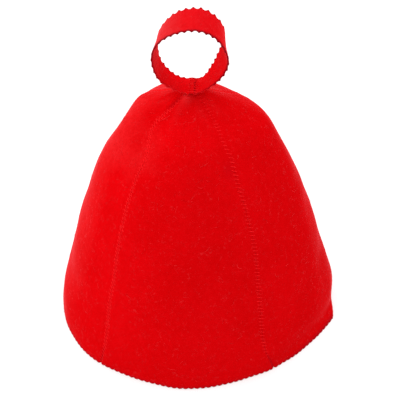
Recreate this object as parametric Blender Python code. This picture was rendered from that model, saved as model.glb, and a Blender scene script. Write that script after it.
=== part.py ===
"""Sauna hat of thick red felt, standing on its rim.

Four felt gores are sewn edge to edge into a bell, and a felt band stands on the crown as a hanging loop.
Metres, +Z up. The front faces -Y, and an azimuth is counted in degrees from -Y towards +X.
The origin is the middle of the hat's box, on the surface that the rim rests on.
"""
import math
from collections import namedtuple

import bpy
import numpy as np

# Driving dimensions of the bell, in metres
CROWN_HEIGHT = 0.238  # hollow of the crown, above the rim
RIM_RADIUS = 0.1195  # hollow at the rim, towards the front
FELT_THICKNESS = 0.003
SEAM_GAP = 0.0003  # between the cut edges of two gores
TIP_RADIUS = 0.001  # where the points of the gores end, around the middle of the crown
RIM_TOOTH_PITCH = 0.005
RIM_TOOTH_DEPTH = 0.0008
GATHER_DEPTH = 0.0007
GATHER_REACH = 0.042  # how far the gathers run out from the middle of the crown

# Driving dimensions of the hanging loop, in metres
LOOP_WIDTH = 0.0574  # inside, from side to side
LOOP_HEIGHT = 0.0621  # inside, from the crown up
BAND_WIDTH = 0.029
BAND_THICKNESS = 0.0015
BAND_TOOTH_PITCH = 0.0059
BAND_TOOTH_DEPTH = 0.0013
LOOP_GAP = 0.0003  # between the loop and the crown, and between the loop's two ends
LOOP_TILT = 12.0  # degrees that the loop's seat slopes down towards the back
LOOP_TURN = 2.5  # degrees that the loop is turned to the right behind
LOOP_SPLAY = 0.06  # share by which its front edge is wider than its middle
LOOP_SQUASH = 0.086  # share by which its front edge is lower than its middle

# Sections from the rim to the middle of the crown. Height is a share of CROWN_HEIGHT and reach one of
# RIM_RADIUS. The other shares are of the section's own reach: the pulls and the corner move one side of the
# hat out, a ridge stands out along each seam and each gore's middle, a belly along its middle alone.
# The seams are azimuths.
Section = namedtuple(
    "Section", "height reach right_pull back_pull left_pull corner ridge belly left_seam right_seam")
SECTIONS = (
    Section(0.000, 1.004, 0.020, -0.16, 0.016, 0.098, 0.006, 0.00, -42.0, 37.5),
    Section(0.050, 1.003, 0.038, -0.16, 0.014, 0.050, 0.006, 0.00, -40.5, 35.5),
    Section(0.125, 0.980, 0.098, -0.15, 0.006, 0.014, 0.005, 0.00, -39.5, 32.5),
    Section(0.230, 0.930, 0.102, -0.15, 0.000, 0.000, 0.003, 0.00, -40.0, 32.5),
    Section(0.345, 0.877, 0.096, -0.14, 0.000, 0.000, 0.002, 0.00, -40.0, 33.0),
    Section(0.460, 0.815, 0.092, -0.13, 0.000, 0.000, 0.002, 0.00, -40.0, 34.0),
    Section(0.570, 0.748, 0.090, -0.12, 0.000, 0.000, 0.003, 0.00, -40.5, 34.5),
    Section(0.670, 0.673, 0.088, -0.10, 0.000, 0.000, 0.003, 0.01, -41.0, 34.0),
    Section(0.762, 0.590, 0.082, -0.05, 0.000, 0.000, 0.002, 0.02, -40.5, 33.5),
    Section(0.832, 0.510, 0.110, 0.05, 0.000, 0.000, 0.000, 0.03, -38.5, 35.0),
    Section(0.874, 0.437, 0.104, 0.08, 0.000, 0.000, 0.000, 0.05, -44.0, 34.0),
    Section(0.911, 0.322, 0.040, 0.07, 0.000, 0.000, 0.000, 0.06, -52.0, 37.0),
    Section(0.947, 0.189, 0.010, 0.03, 0.000, 0.000, 0.000, 0.03, -48.0, 40.0),
    Section(0.978, 0.075, 0.000, 0.00, 0.000, 0.000, 0.000, 0.00, -45.0, 42.0),
    Section(1.000, 0.000, 0.000, 0.00, 0.000, 0.000, 0.000, 0.00, -45.0, 42.0),
)

# The two hidden seams keep one azimuth
BACK_RIGHT_SEAM = 130.0
BACK_LEFT_SEAM = 230.0

# Where each pull of the sections lies around the hat: middle and half width, in degrees
Swell = namedtuple("Swell", "middle half_width")
RIGHT_SWELL = Swell(90.0, 78.0)
BACK_SWELL = Swell(184.0, 95.0)
LEFT_SWELL = Swell(-64.0, 34.0)
CORNER_FOLD = Swell(76.0, 34.0)
CORNER_WANDER = 6.0  # degrees that the corner's fold moves to the back over each section
CORNER_SECTIONS = 2.0  # sections over which it moves
CORNER_SHARPNESS = 1.1  # 1 is a straight-sided fold, more hollows its sides

# Soft dents. Along is a section number, size and depth are shares of RIM_RADIUS.
DENT_SLANT_SHARE = 0.5  # how much a distance from the hat's axis counts beside the other two
Dent = namedtuple("Dent", "azimuth along size depth")
DENTS = (
    Dent(-104.0, 8.8, 0.150, 0.034),
    Dent(-122.0, 10.6, 0.090, -0.038),
    Dent(140.0, 10.8, 0.120, 0.020),
    Dent(29.0, 9.6, 0.090, 0.020),
    Dent(26.0, 8.3, 0.110, 0.018),
    Dent(-52.0, 7.7, 0.100, 0.014),
    Dent(-47.0, 9.4, 0.090, 0.014),
    Dent(150.0, 6.0, 0.200, 0.012),
    Dent(215.0, 3.5, 0.220, 0.012),
    Dent(55.0, 1.6, 0.200, 0.016),
)

# Where the loop's soft felt is pushed out of round. The turn is from its seat towards +X, in degrees, and
# the two pushes are outward, at the front and at the back edge, as shares of half of LOOP_WIDTH.
Push = namedtuple("Push", "turn half_width front back")
LOOP_PUSHES = (
    Push(130.0, 60.0, 0.00, 0.13),
    Push(54.0, 48.0, 0.02, -0.18),
    Push(88.0, 34.0, 0.03, -0.10),
    Push(-42.0, 44.0, 0.04, -0.03),
    Push(-100.0, 60.0, 0.035, 0.05),
    Push(0.0, 40.0, 0.00, -0.07),
)

# How finely the felt is divided
ROWS = 22
COURSE_STEP = 0.01  # over which the slope of the felt is measured
HALVINGS = 40  # of a course, to find the place with a given size
SEAT_PLACES = 30  # at which the loop's seat is held clear of the crown
SHARP_EDGE = 40.0  # degrees between two faces
GORE_COLUMNS = {"front_gore": 12, "right_gore": 18, "back_gore": 16, "left_gore": 16}
GATHERS_PER_GORE = 3
TOOTH_STEPS = (0.0, 0.3, 0.7)  # valley, then the two ends of the tooth's flat tip
FLAT_TIPS = (1.0, 0.0, 0.0)  # share of the tooth's depth at each step

FELT_RED = (0.74, 0.004, 0.008)
FELT_ROUGHNESS = 0.95


def along_sections(column, along):
    """Value of one column of the sections at a course between 0, the rim, and the last, the crown."""
    values = [getattr(section, column) for section in SECTIONS]
    mirrored = -values[-2] if column == "reach" else values[-2]
    values = [2 * values[0] - values[1]] + values + [mirrored]
    index = min(int(along), len(SECTIONS) - 2)
    before, start, end, after = values[index:index + 4]
    share = along - index
    start_slope = (end - before) / 2
    end_slope = (after - start) / 2
    cube = 2 * (start - end) + start_slope + end_slope
    square = 3 * (end - start) - 2 * start_slope - end_slope
    return ((cube * share + square) * share + start_slope) * share + start


def turn_between(azimuth, middle):
    """Smallest turn from middle to azimuth, in degrees."""
    return (azimuth - middle + 180.0) % 360.0 - 180.0


def swell_share(azimuth, swell):
    """Round hump around the hat, 1 at the swell's middle and 0 at its ends."""
    turn = abs(turn_between(azimuth, swell.middle))
    return math.cos(math.pi / 2 * min(turn / swell.half_width, 1.0)) ** 2


def fold_share(azimuth, along):
    """Sharper hump at the pulled-out corner of the rim, which wanders to the side as it climbs."""
    middle = CORNER_FOLD.middle + CORNER_WANDER * min(along, CORNER_SECTIONS)
    turn = abs(turn_between(azimuth, middle))
    return max(1.0 - turn / CORNER_FOLD.half_width, 0.0) ** CORNER_SHARPNESS


def dent_depth(azimuth, along, radius, height):
    """How far the soft dents push the felt in at this place."""
    depth = 0.0
    for dent in DENTS:
        across = math.radians(turn_between(azimuth, dent.azimuth)) * radius
        up = height - CROWN_HEIGHT * along_sections("height", dent.along)
        slant = radius - RIM_RADIUS * along_sections("reach", dent.along)
        distance = across ** 2 + up ** 2 + DENT_SLANT_SHARE * slant ** 2
        depth += RIM_RADIUS * dent.depth * math.exp(-distance / (RIM_RADIUS * dent.size) ** 2)
    return depth


def gore_span(name, along):
    """Azimuths of a gore's two seams at one course."""
    left = along_sections("left_seam", along)
    right = along_sections("right_seam", along)
    return {
        "front_gore": (left, right),
        "right_gore": (right, BACK_RIGHT_SEAM),
        "back_gore": (BACK_RIGHT_SEAM, BACK_LEFT_SEAM),
        "left_gore": (BACK_LEFT_SEAM, left + 360.0),
    }[name]


def hollow_profile(name, across, along):
    """Radius and height of the felt's inner face at a share across a gore and a course along it."""
    start, end = gore_span(name, along)
    azimuth = start + (end - start) * across
    height = CROWN_HEIGHT * along_sections("height", along)
    plan = 1.0
    plan += along_sections("right_pull", along) * swell_share(azimuth, RIGHT_SWELL)
    plan += along_sections("back_pull", along) * swell_share(azimuth, BACK_SWELL)
    plan += along_sections("left_pull", along) * swell_share(azimuth, LEFT_SWELL)
    plan += along_sections("corner", along) * fold_share(azimuth, along)
    plan += along_sections("ridge", along) * math.cos(4 * math.pi * across)
    plan -= along_sections("belly", along) * math.cos(2 * math.pi * across)
    radius = RIM_RADIUS * along_sections("reach", along) * plan
    radius -= dent_depth(azimuth, along, radius, height)
    gathered = math.sin(math.pi * min(radius / GATHER_REACH, 1.0)) ** 2
    height += GATHER_DEPTH * gathered * math.cos(2 * math.pi * GATHERS_PER_GORE * across)
    return radius, height


def tip_course():
    """Course at which the hollow has closed to TIP_RADIUS, just short of the middle of the crown."""
    low, high = len(SECTIONS) - 2.0, len(SECTIONS) - 1.0
    for _ in range(HALVINGS):
        middle = (low + high) / 2
        if RIM_RADIUS * along_sections("reach", middle) > TIP_RADIUS:
            low = middle
        else:
            high = middle
    return low


def felt_profile(name, across, along):
    """Inner and outer radius and height: the outer face is the inner one, moved out by the thickness."""
    radius, height = hollow_profile(name, across, along)
    before = hollow_profile(name, across, max(along - COURSE_STEP, 0.0))
    after = hollow_profile(name, across, min(along + COURSE_STEP, len(SECTIONS) - 1.0))
    inwards, upwards = before[0] - after[0], after[1] - before[1]
    length = math.hypot(inwards, upwards)
    outer_radius = radius + FELT_THICKNESS * upwards / length
    outer_height = height + FELT_THICKNESS * inwards / length
    return (radius, height), (outer_radius, outer_height)


def gore_point(name, across, along, radius, height):
    """Place in space, half the seam's gap clear of each seam plane."""
    start, end = gore_span(name, along)
    clear = math.degrees(math.asin(SEAM_GAP / 2 / radius))
    azimuth = math.radians(start + clear + (end - start - 2 * clear) * across)
    return radius * math.sin(azimuth), -radius * math.cos(azimuth), height


def rim_steps(name):
    """Shares across a gore, and heights, of the valleys and flat tips of its cut edge."""
    start, end = gore_span(name, 0.0)
    teeth = max(round(math.radians(end - start) * RIM_RADIUS / RIM_TOOTH_PITCH), 1)
    steps = [((tooth + step) / teeth, share * RIM_TOOTH_DEPTH)
             for tooth in range(teeth) for step, share in zip(TOOTH_STEPS, FLAT_TIPS)]
    return steps + [(1.0, RIM_TOOTH_DEPTH)]


def stitch_rows(lower, lower_shares, upper, upper_shares):
    """Triangles that join two rows of corners which are divided differently."""
    faces = []
    low, high = 0, 0
    while low < len(lower) - 1 or high < len(upper) - 1:
        next_low = lower_shares[low + 1] if low < len(lower) - 1 else math.inf
        next_high = upper_shares[high + 1] if high < len(upper) - 1 else math.inf
        if next_low <= next_high:
            faces.append((lower[low], lower[low + 1], upper[high]))
            low += 1
        else:
            faces.append((lower[low], upper[high + 1], upper[high]))
            high += 1
    return faces


def gore_mesh(name):
    """Corners and faces of one gore: two faces of felt, its cut edges, its toothed rim and its point."""
    columns = GORE_COLUMNS[name]
    shares = [column / columns for column in range(columns + 1)]
    courses = np.linspace(0.0, tip_course(), ROWS + 1)[1:]
    corners, inner_rows, outer_rows = [], [], []

    def add_row(points):
        first = len(corners)
        corners.extend(points)
        return list(range(first, first + len(points)))

    steps = rim_steps(name)
    rim_shares = [share for share, _ in steps]
    inside, outside = [], []
    for share, height in steps:
        radius = hollow_profile(name, share, 0.0)[0]
        inside.append(gore_point(name, share, 0.0, radius, height))
        outside.append(gore_point(name, share, 0.0, radius + FELT_THICKNESS, height))
    inner_rows.append(add_row(inside))
    outer_rows.append(add_row(outside))
    for along in courses:
        pairs = [felt_profile(name, share, along) for share in shares]
        inside = [gore_point(name, share, along, *inner) for share, (inner, _) in zip(shares, pairs)]
        outside = [gore_point(name, share, along, *outer) for share, (_, outer) in zip(shares, pairs)]
        inner_rows.append(add_row(inside))
        outer_rows.append(add_row(outside))

    faces = stitch_rows(outer_rows[0], rim_shares, outer_rows[1], shares)
    faces += [face[::-1] for face in stitch_rows(inner_rows[0], rim_shares, inner_rows[1], shares)]
    for row in range(1, ROWS):
        for column in range(columns):
            low, high = outer_rows[row], outer_rows[row + 1]
            faces.append((low[column], low[column + 1], high[column + 1], high[column]))
            low, high = inner_rows[row], inner_rows[row + 1]
            faces.append((low[column], high[column], high[column + 1], low[column + 1]))
    for step in range(len(steps) - 1):
        inner, outer = inner_rows[0], outer_rows[0]
        faces.append((outer[step], inner[step], inner[step + 1], outer[step + 1]))
    for column in range(columns):
        inner, outer = inner_rows[-1], outer_rows[-1]
        faces.append((outer[column], outer[column + 1], inner[column + 1], inner[column]))
    for row in range(ROWS):
        inner, outer = inner_rows[row:row + 2], outer_rows[row:row + 2]
        faces.append((outer[0][0], outer[1][0], inner[1][0], inner[0][0]))
        faces.append((outer[0][-1], inner[0][-1], inner[1][-1], outer[1][-1]))
    return np.array(corners), faces


def crown_height_behind(distance):
    """Height of the crown's outer face, this far behind its middle."""
    low, high = 0.0, tip_course()
    for _ in range(HALVINGS):
        middle = (low + high) / 2
        if felt_profile("back_gore", 0.5, middle)[1][0] > distance:
            low = middle
        else:
            high = middle
    return felt_profile("back_gore", 0.5, low)[1][1]


def loop_seat_height():
    """Height of the loop's seat over the middle of the crown, so that the band's underside clears it."""
    places = np.linspace(0.0, BAND_WIDTH / 2, SEAT_PLACES)
    undersides = [loop_point(0.0, place, BAND_THICKNESS, 0.0)[2] for place in places]
    return max(crown_height_behind(place) - under for place, under in zip(places, undersides)) + LOOP_GAP


def loop_point(turn, depth, lift, seat):
    """Place on the band: turn from its seat, depth from front to back, lift from its inner face."""
    forward = -depth / (BAND_WIDTH / 2)
    half_width = LOOP_WIDTH / 2 * (1 + LOOP_SPLAY * forward)
    half_height = LOOP_HEIGHT / 2 * (1 - LOOP_SQUASH * forward)
    bottom = seat + BAND_THICKNESS - math.tan(math.radians(LOOP_TILT)) * depth
    outward = np.array([math.sin(turn) / half_width, -math.cos(turn) / half_height])
    outward /= np.linalg.norm(outward)
    for push in LOOP_PUSHES:
        amount = (push.front * (1 + forward) + push.back * (1 - forward)) / 2
        lift += LOOP_WIDTH / 2 * amount * swell_share(math.degrees(turn), Swell(push.turn, push.half_width))
    x = half_width * math.sin(turn) + outward[0] * lift + depth * math.tan(math.radians(LOOP_TURN))
    z = bottom + half_height * (1 - math.cos(turn)) + outward[1] * lift
    return x, depth, z


def loop_mesh():
    """Corners and faces of the band, bent round so that its two toothed ends meet on the crown."""
    seat = loop_seat_height()
    around = math.pi * (LOOP_WIDTH + LOOP_HEIGHT) / 2
    teeth = max(round(around / BAND_TOOTH_PITCH), 3)
    end_turn = LOOP_GAP / LOOP_WIDTH
    turns = np.linspace(end_turn, 2 * math.pi - end_turn, 2 * teeth + 1)
    corners, faces = [], []
    for index, turn in enumerate(turns):
        edge = BAND_WIDTH / 2 - (BAND_TOOTH_DEPTH if index % 2 == 0 else 0.0)
        for depth, lift in ((-edge, 0.0), (edge, 0.0), (edge, BAND_THICKNESS), (-edge, BAND_THICKNESS)):
            corners.append(loop_point(turn, depth, lift, seat))
    last = 4 * (len(turns) - 1)
    for first in range(0, last, 4):
        for side in range(4):
            beside = (side + 1) % 4
            faces.append((first + side, first + 4 + side, first + 4 + beside, first + beside))
    faces.append((0, 1, 2, 3))
    faces.append((last + 3, last + 2, last + 1, last))
    return np.array(corners), faces


def felt_material(name):
    """Red felt."""
    material = bpy.data.materials.new(name)
    material.use_nodes = True
    shader = material.node_tree.nodes["Principled BSDF"]
    shader.inputs["Base Color"].default_value = (*FELT_RED, 1.0)
    shader.inputs["Roughness"].default_value = FELT_ROUGHNESS
    shader.inputs["Metallic"].default_value = 0.0
    return material


def felt_object(name, corners, faces, parent):
    """One piece of felt, smooth apart from its cut edges."""
    mesh = bpy.data.meshes.new(name)
    mesh.from_pydata(corners.tolist(), [], faces)
    mesh.validate()
    mesh.shade_smooth()
    mesh.set_sharp_from_angle(angle=math.radians(SHARP_EDGE))
    mesh.materials.append(felt_material(name + "_felt"))
    piece = bpy.data.objects.new(name, mesh)
    piece.parent = parent
    bpy.context.scene.collection.objects.link(piece)
    return piece


def main():
    for old in list(bpy.data.objects):
        bpy.data.objects.remove(old, do_unlink=True)
    shapes = {name: gore_mesh(name) for name in GORE_COLUMNS}
    shapes["hanging_loop"] = loop_mesh()
    everything = np.concatenate([corners for corners, _ in shapes.values()])
    middle = (everything.min(axis=0) + everything.max(axis=0)) / 2
    middle[2] = 0.0
    hat = bpy.data.objects.new("sauna_hat", None)
    bpy.context.scene.collection.objects.link(hat)
    for name, (corners, faces) in shapes.items():
        felt_object(name, corners - middle, faces, hat)


main()
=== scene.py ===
"""Looks of a red felt sauna hat: felt gores sewn edge to edge, and a felt band as its hanging loop.

Metres, +Z up, the front facing -Y. An azimuth is counted in degrees from -Y towards +X.
"""
import math
from collections import namedtuple

import bpy
import numpy as np
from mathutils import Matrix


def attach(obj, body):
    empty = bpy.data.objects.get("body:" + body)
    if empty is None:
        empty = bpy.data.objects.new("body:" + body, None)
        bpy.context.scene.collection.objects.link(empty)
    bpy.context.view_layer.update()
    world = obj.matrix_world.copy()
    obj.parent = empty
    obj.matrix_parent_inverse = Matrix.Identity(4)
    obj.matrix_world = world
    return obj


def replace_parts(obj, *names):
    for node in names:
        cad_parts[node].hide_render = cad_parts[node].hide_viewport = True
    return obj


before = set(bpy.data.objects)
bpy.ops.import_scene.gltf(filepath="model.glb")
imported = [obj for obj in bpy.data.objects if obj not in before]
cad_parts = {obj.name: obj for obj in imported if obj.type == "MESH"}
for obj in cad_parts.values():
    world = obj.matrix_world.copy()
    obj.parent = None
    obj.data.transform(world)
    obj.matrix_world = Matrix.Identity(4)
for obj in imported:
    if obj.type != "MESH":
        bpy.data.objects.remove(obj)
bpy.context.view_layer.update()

# The bell, with the sizes of its solids apart from the deeper teeth
GORES = ("front_gore", "right_gore", "back_gore", "left_gore")
CROWN_AXIS = (-0.0052, 0.0096)  # where the middle of the crown stands in the hat's box
CROWN_HEIGHT = 0.238  # hollow of the crown, above the rim
RIM_RADIUS = 0.1195  # hollow at the rim, towards the front
FELT_THICKNESS = 0.003
RIM_TOOTH_PITCH = 0.005
RIM_TOOTH_DEPTH = 0.0014

# The hanging loop, with the sizes of its solid apart from the deeper teeth
LOOP_SEAT = 0.2403  # height of its lowest line where it crosses the middle of the crown
LOOP_WIDTH = 0.0574
LOOP_HEIGHT = 0.0621
BAND_WIDTH = 0.029
BAND_THICKNESS = 0.0015
BAND_TOOTH_PITCH = 0.0059
BAND_TOOTH_DEPTH = 0.0023
BACK_TOOTH_SHARE = 1.3  # how much deeper the teeth of the back edge are cut
LOOP_TILT = 12.0  # degrees that it leans back
LOOP_TURN = 2.5  # degrees that it is turned aside
LOOP_SPLAY = 0.06  # how much wider its front edge is
LOOP_SQUASH = 0.086  # how much lower its front edge is

# Sections from the rim to the middle of the crown. Height is a share of CROWN_HEIGHT and reach one of
# RIM_RADIUS. The other shares are of the section's own reach: the pulls and the corner move one side of the
# hat out, a ridge stands out along each seam and each gore's middle, a belly along its middle alone.
# The seams are azimuths.
Section = namedtuple(
    "Section", "height reach right_pull back_pull left_pull corner ridge belly left_seam right_seam")
SECTIONS = (
    Section(0.000, 1.004, 0.020, -0.16, 0.016, 0.098, 0.006, 0.00, -42.0, 37.5),
    Section(0.050, 1.003, 0.038, -0.16, 0.014, 0.050, 0.006, 0.00, -40.5, 35.5),
    Section(0.125, 0.980, 0.098, -0.15, 0.006, 0.014, 0.005, 0.00, -39.5, 32.5),
    Section(0.230, 0.930, 0.102, -0.15, 0.000, 0.000, 0.003, 0.00, -40.0, 32.5),
    Section(0.345, 0.877, 0.096, -0.14, 0.000, 0.000, 0.002, 0.00, -40.0, 33.0),
    Section(0.460, 0.815, 0.092, -0.13, 0.000, 0.000, 0.002, 0.00, -40.0, 34.0),
    Section(0.570, 0.748, 0.090, -0.12, 0.000, 0.000, 0.003, 0.00, -40.5, 34.5),
    Section(0.670, 0.673, 0.088, -0.10, 0.000, 0.000, 0.003, 0.01, -41.0, 34.0),
    Section(0.762, 0.590, 0.082, -0.05, 0.000, 0.000, 0.002, 0.02, -40.5, 33.5),
    Section(0.832, 0.510, 0.110, 0.05, 0.000, 0.000, 0.000, 0.03, -38.5, 35.0),
    Section(0.874, 0.437, 0.104, 0.08, 0.000, 0.000, 0.000, 0.05, -44.0, 34.0),
    Section(0.911, 0.322, 0.040, 0.07, 0.000, 0.000, 0.000, 0.06, -52.0, 37.0),
    Section(0.947, 0.189, 0.010, 0.03, 0.000, 0.000, 0.000, 0.03, -48.0, 40.0),
    Section(0.978, 0.075, 0.000, 0.00, 0.000, 0.000, 0.000, 0.00, -45.0, 42.0),
    Section(1.000, 0.000, 0.000, 0.00, 0.000, 0.000, 0.000, 0.00, -45.0, 42.0),
)
BACK_RIGHT_SEAM = 130.0
BACK_LEFT_SEAM = 230.0

# Where the pulls and the corner's fold lie around the hat
Swell = namedtuple("Swell", "middle half_width")
RIGHT_SWELL = Swell(90.0, 78.0)
BACK_SWELL = Swell(184.0, 95.0)
LEFT_SWELL = Swell(-64.0, 34.0)
CORNER_FOLD = Swell(76.0, 34.0)
CORNER_WANDER = 6.0  # degrees aside for each section, up to CORNER_SECTIONS
CORNER_SECTIONS = 2.0
CORNER_SHARPNESS = 1.1

# Soft dents, and bulges where the depth is below zero. Along is a section number. Size and depth are shares
# of RIM_RADIUS.
DENT_SLANT_SHARE = 0.5  # how much a distance inwards counts
Dent = namedtuple("Dent", "azimuth along size depth")
DENTS = (
    Dent(-104.0, 8.8, 0.150, 0.034),
    Dent(-122.0, 10.6, 0.090, -0.038),
    Dent(140.0, 10.8, 0.120, 0.020),
    Dent(29.0, 9.6, 0.090, 0.020),
    Dent(26.0, 8.3, 0.110, 0.018),
    Dent(-52.0, 7.7, 0.100, 0.014),
    Dent(-47.0, 9.4, 0.090, 0.014),
    Dent(150.0, 6.0, 0.200, 0.012),
    Dent(215.0, 3.5, 0.220, 0.012),
    Dent(55.0, 1.6, 0.200, 0.016),
    Dent(92.0, 1.45, 0.130, -0.022),
)

# Where the loop's soft felt is pushed out of round, at degrees from its seat. Front and back are the pushes
# at its two edges, as shares of half the loop's width.
Push = namedtuple("Push", "middle half_width front back")
LOOP_PUSHES = (
    Push(130.0, 60.0, 0.00, 0.13),
    Push(54.0, 48.0, 0.02, -0.18),
    Push(88.0, 34.0, 0.03, -0.10),
    Push(-42.0, 44.0, 0.04, -0.03),
    Push(-100.0, 60.0, 0.035, 0.05),
    Push(0.0, 40.0, 0.00, -0.07),
    Push(180.0, 70.0, 0.00, 0.080),
)

# The gores' meshes
SEAM_GAP = 0.00008  # between two gores
TIP_RADIUS = 0.0004  # of the hole where the four gores meet
ROW_PITCH = 0.00175  # two rows for each stitch
COLUMNS_PER_TOOTH = 4
BESIDE_SEAM = (0.3, 0.65)  # two more columns beside each seam, in columns from it
EDGE_ROUNDING = 0.0003
NEXT_ROW = 2.5  # least height of the next row over a tooth, in roundings
COURSE_STEP = 0.01  # over which the felt's slope is read
FINE_COURSES = 6001
TIP_COURSES = 4001
TINY = 1e-12  # least length that a vector is divided by

# Relief of the felt's outer face. A groove, puckers and a low welt follow each seam. The groove is deeper on
# the crown and near the rim.
GROOVE_DEPTH = 0.00016
GROOVE_REACH = 0.0011
CROWN_GROOVE = 0.0007
CROWN_REACH = 0.026
RIM_GROOVE = 0.0007
RIM_REACH = 0.026
PUCKER_DEPTH = 0.00014
PUCKER_REACH = 0.0032
PUCKER_REST = 0.1  # share of a pucker that is left between two stitches
WELT_HEIGHT = 0.00014
WELT_PLACE = 0.0052
WELT_REACH = 0.0022
GATHER_DEPTH = 0.00012
GATHER_REACH = 0.042
GATHERS_PER_GORE = 3
WAVE_DEPTH = 0.00035
WAVE_LENGTHS = (0.018, 0.060)
WAVES = 26
GORE_WAVES_SEED = 7
BAND_WAVES_SEED = 19

# How much of the cut edge's darker red the felt takes: as painted shade beside a seam, in a crease as deep
# as
# CREASE_DEPTH and in a seam's groove at the rim, and as its own cut red with painted contact shadow on the
# lowest rows of the rim
SEAM_SHADE = 0.02
CREASE_SHADE = 0.38
CREASE_DEPTH = 0.0015
RIM_SHADE = 0.60
RIM_CUT_AND_SHADE = (1.0, 1.0, 0.6, 0.2)

# Painted sheen, a paler colour standing in for light from the left, on the left flank: most where the felt
# at this height faces the way that right, back and up say, less with each degree from it and none at the
# reach
SheenPatch = namedtuple("SheenPatch", "height right back up most reach")
PAINTED_SHEENS = (
    SheenPatch(0.020, -0.98, 0.00, 0.20, 0.35, 24.0),
    SheenPatch(0.070, -0.97, 0.08, 0.22, 0.58, 36.0),
    SheenPatch(0.140, -0.95, 0.15, 0.28, 0.58, 38.0),
    SheenPatch(0.172, -0.90, 0.24, 0.36, 0.52, 46.0),
    SheenPatch(0.195, -0.78, 0.37, 0.50, 0.54, 76.0),
    SheenPatch(0.214, -0.66, 0.46, 0.59, 0.50, 62.0),
    SheenPatch(0.228, -0.50, 0.53, 0.68, 0.25, 34.0),
)
RIDGE_PAINTED_HIGHLIGHT = 0.35  # how much painted highlight a small fold gets where it stands RIDGE_HEIGHT high
RIDGE_HEIGHT = 0.003

# Small folds of the gathered felt around the loop, and creases where the height is below zero. Azimuth, and
# distance from the middle of the crown.
Fold = namedtuple("Fold", "azimuth distance length width height")
FOLDS = (
    Fold(-14.0, 0.0112, 0.0046, 0.0036, 0.0030),
    Fold(-52.0, 0.0175, 0.0066, 0.0017, -0.0016),
    Fold(30.0, 0.0650, 0.0050, 0.0055, -0.0010),
    Fold(-26.0, 0.0230, 0.0110, 0.0030, 0.0005),
    Fold(22.0, 0.0220, 0.0100, 0.0034, 0.0004),
    Fold(58.0, 0.0240, 0.0100, 0.0036, 0.0004),
    Fold(-78.0, 0.0260, 0.0110, 0.0040, 0.0004),
    Fold(-32.0, 0.0150, 0.0100, 0.0020, 0.0005),
)

# The band's mesh: lines from its middle to an edge, and steps around it
BAND_LINES = (0.0, 0.2, 0.42, 0.62, 0.78, 0.9, 0.96, 1.0)
BAND_STEPS_PER_TOOTH = 8
BAND_TOOTH_START = 0.3  # share of a tooth that is cut off at the join
BAND_NOTCH_POWER = 0.9
BAND_ROUNDING = 0.0003
BAND_WAVE = 0.0004

# The band's join on the crown: one end laps over the other and is sewn down through both
JOIN_GAP = 0.00006
JOIN_STEP = 0.0034  # how far to the right of the seat the upper end stops
JOIN_LAP = 0.0130  # how far to the left of its end it still stands up
JOIN_LIFT = 0.0009
STEP_WIDTH = 0.0007
STEP_SHADE = 0.6  # painted shadow at the foot of the step
STEP_SHADE_PLACE = 0.0006

# How far to the left and the right of the seat the band's front edge is pressed on the crown, with no dark
# cut edge or painted shadow
SEAT_REACH = (0.028, 0.018)

# How much of the cut edge's darker red the band's outer face has, as painted shade that keeps it darker than
# the inner face, and how much painted sheen it has, by degrees from its seat
OUTSIDE_SHADE = ((0.0, 110.0, 165.0, 205.0, 250.0, 360.0), (0.0, 0.0, 0.20, 0.20, 0.03, 0.0))
PAINTED_SHEEN_OUTSIDE = ((0.0, 150.0, 190.0, 240.0, 290.0, 360.0), (0.05, 0.05, 0.10, 0.60, 0.50, 0.08))

# How dark the band's cut edge is, at shares from its middle to its edge, and how much darker at its tips:
# its own darker red and painted shadow
EDGE_SHADE = ((0.78, 0.90, 0.96, 1.00), (0.0, 0.0, 0.25, 0.65))
TIP_SHADE = ((0.78, 0.90, 0.96, 1.00), (0.0, 0.6, 0.75, 0.35))

# Where the stitches pull the band down onto the crown
TACK_PLACE = 0.0025
TACK_REACH = 0.0100
TACK_PULL = 0.30  # share of the room under the band that it closes
TACK_CLEARANCE = 0.0006
CROWN_START = 9.0  # course where the crown's outline starts
CROWN_COURSES = 200

# Sewing thread
THREAD_RADIUS = 0.00044
THREAD_SIDES = 6
THREAD_TAPER = 0.4
STROKE_POINTS = 9
STROKE_DIVE = 0.1375  # the thread is out where the share gone times the share left is over this
END_DEPTH = 1.4  # how deep a stroke's ends lie, in radii of the thread
OVER_GROOVE = 0.8  # share of the seam's groove that a stroke spans
STITCH_HALF_WIDTH = 0.0028
STITCH_WANDER = 0.00022
STITCH_RISE = 0.25  # how far a bar's middle line stands over the felt, in radii of the thread
# The same along the hat's seams, by height: near the rim and on the crown wool has closed over the thread
SEAM_RISE = ((0.020, 0.032, 0.188, 0.206), (-1.20, 0.25, 0.25, -0.65))
STRIP_REACH = 0.0060
STRIP_COLUMNS = 25
STRIP_OFFSETS = np.linspace(-STRIP_REACH, STRIP_REACH, STRIP_COLUMNS)

# The seams. Slope is how much lower a stitch's bar ends than it starts, sunk how deep the way back lies.
Seam = namedtuple("Seam", "left_gore right_gore slope sunk")
SEAMS = (
    Seam("front_gore", "right_gore", 0.0020, 0.00060),
    Seam("right_gore", "back_gore", 0.0018, 0.00030),
    Seam("back_gore", "left_gore", 0.0018, 0.00030),
    Seam("left_gore", "front_gore", 0.0012, 0.00010),
)
SEAM_ROOM = 3.2  # least width of a seam's strip that takes a bar, in half widths of a bar
TIP_ROWS = 3  # rows at the tip that take no bar

# The loop's seam over the join, on a strip JOIN_STRETCH times as wide as the others. The slopes of it and of
# the tack are in rows of their strips.
JOIN_STITCHES = 9
JOIN_SLOPE = 0.8
JOIN_HALF_WIDTH = 0.0062
JOIN_MIDDLE = 0.0030
JOIN_STRETCH = 1.2
JOIN_MARGIN = 0.001
JOIN_ROWS = 41
JOIN_SUNK = 0.00060

# The last bars of the loop's seam, which run down onto the crown in front of the band
TACK_BARS = 3
TACK_ROWS = (-0.0152, -0.0086)  # where the felt under them starts and ends, from the crown's middle
TACK_MIDDLE = -0.0014
TACK_SLOPE = 0.2
TACK_SUNK = 0.0009
TACK_BLUR = 0.0012  # over which the felt's height under them is evened out

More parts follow.
